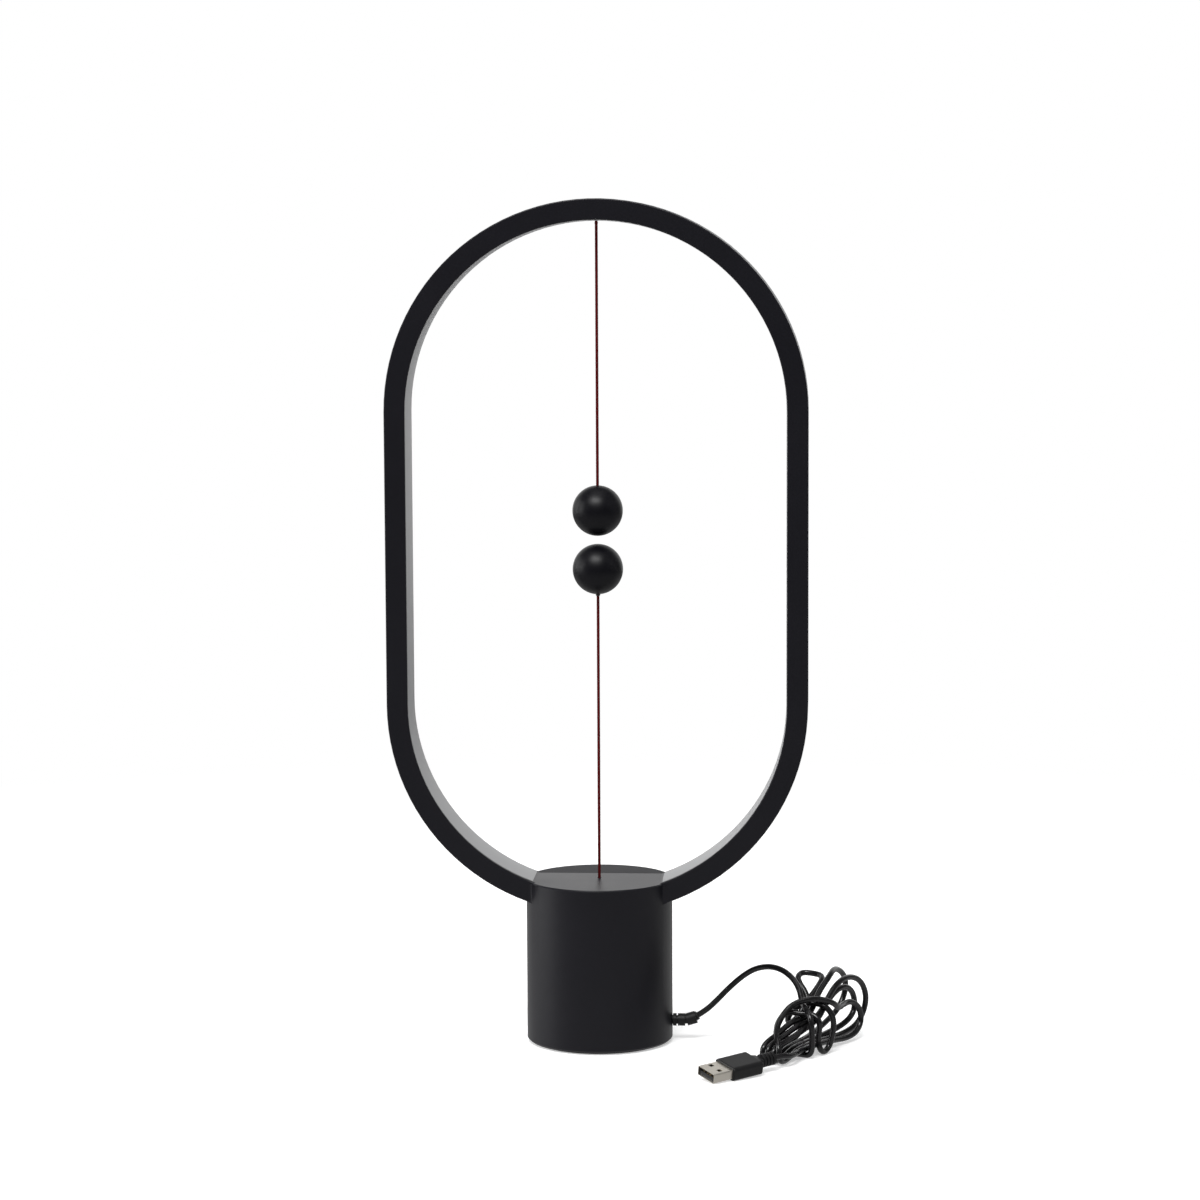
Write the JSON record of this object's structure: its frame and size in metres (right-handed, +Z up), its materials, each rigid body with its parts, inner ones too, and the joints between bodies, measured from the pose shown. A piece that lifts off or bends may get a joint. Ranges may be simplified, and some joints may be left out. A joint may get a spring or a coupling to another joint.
{
  "type": "table lamp",
  "caption": "Ring-shaped LED table lamp whose two magnetic balls on strings work a pull switch in its round base, with a bundled USB lead.",
  "frame": {"origin": "centre of the round base on the table", "axes": "+Z up; the ring stands in the XZ plane and faces -Y; the lead leaves the base at +X"},
  "size_m": [0.2313, 0.1246, 0.403],
  "materials": {
    "black_plastic": "satin moulded ABS",
    "diffuser_white": "milky, translucent, matt",
    "circuit_white": "white solder mask",
    "chip_yellow": "phosphor cap",
    "ball_black": "matt black lacquer",
    "string_red": "braided cord",
    "magnet_nickel": "nickel plated",
    "brass": "plain",
    "steel": "plain",
    "spring_steel": "bright wire",
    "board_green": "solder mask",
    "component_black": "moulded",
    "ballast_steel": "zinc plated",
    "foam_foot": "foam rubber",
    "cord_black": "semi-gloss PVC",
    "wire_red": "PVC insulation",
    "gold": "gold flash"
  },
  "bodies": {
    "lamp": {"front_housing": "black_plastic", "rear_cover": "black_plastic", "diffuser": "diffuser_white", "led_strip": "circuit_white", "led_chips": "chip_yellow", "led_wires": "wire_red", "upper_string_anchor": "black_plastic", "return_spring": "spring_steel", "guide_cap": "component_black", "micro_switch": "component_black", "driver_board": "board_green", "driver_components": "component_black", "board_screws": "steel", "ballast_weight": "ballast_steel", "bottom_cover": "black_plastic", "base_screws": "steel", "foot_pad": "foam_foot", "cable_strain_relief": "cord_black", "inner_cable": "cord_black", "cable_clamp": "component_black", "clamp_screws": "steel", "usb_lead": "cord_black", "usb_hank": "cord_black", "usb_tail": "cord_black", "plug_grip": "cord_black", "plug_shell": "magnet_nickel", "plug_insulator": "component_black", "plug_contacts": "gold"},
    "upper_string_top": {"upper_string_knot": "string_red"},
    "upper_pendulum": {"upper_string": "string_red", "upper_ball": "ball_black", "upper_magnet": "magnet_nickel", "upper_ball_plug": "ball_black"},
    "pull_switch": {"pull_carrier": "component_black", "lower_string_root": "string_red"},
    "lower_string_foot": {"lower_string_bend": "string_red"},
    "lower_pendulum": {"lower_string": "string_red", "lower_ball": "ball_black", "lower_magnet": "magnet_nickel", "lower_ball_plug": "ball_black", "lower_ferrule": "brass"},
    "lever": {"switch_lever": "spring_steel"}
  },
  "joints": [
    {"name": "upper_swing_side", "type": "hinge", "parent": "lamp", "child": "upper_string_top", "pos_m": [0, 0, 0.3914], "axis": [0, 1, 0], "range_deg": [-34, 34]},
    {"name": "upper_swing_fore", "type": "hinge", "parent": "upper_string_top", "child": "upper_pendulum", "pos_m": [0, 0, 0.3914], "axis": [1, 0, 0], "range_deg": [-75, 75]},
    {"name": "pull_slide", "type": "slide", "parent": "lamp", "child": "pull_switch", "axis": [0, 0, 1], "range_m": [-0.004, 0], "stiffness_N_per_m": 100, "springref_m": 0.004, "deforming": ["return_spring"]},
    {"name": "switch_lever_turn", "type": "hinge", "parent": "lamp", "child": "lever", "pos_m": [-0.0185, 0, 0.04555], "axis": [0, 1, 0], "range_deg": [0, 11.5]},
    {"name": "lower_tilt_side", "type": "hinge", "parent": "pull_switch", "child": "lower_string_foot", "pos_m": [0, 0, 0.084], "axis": [0, 1, 0], "range_deg": [-31, 31], "stiffness_Nm_per_rad": 0.04},
    {"name": "lower_tilt_fore", "type": "hinge", "parent": "lower_string_foot", "child": "lower_pendulum", "pos_m": [0, 0, 0.084], "axis": [1, 0, 0], "range_deg": [-85, 85], "stiffness_Nm_per_rad": 0.04}
  ],
  "couplings": [
    {"joint": "switch_lever_turn", "follows": "pull_slide", "rad_per_m": -50.178}
  ]
}
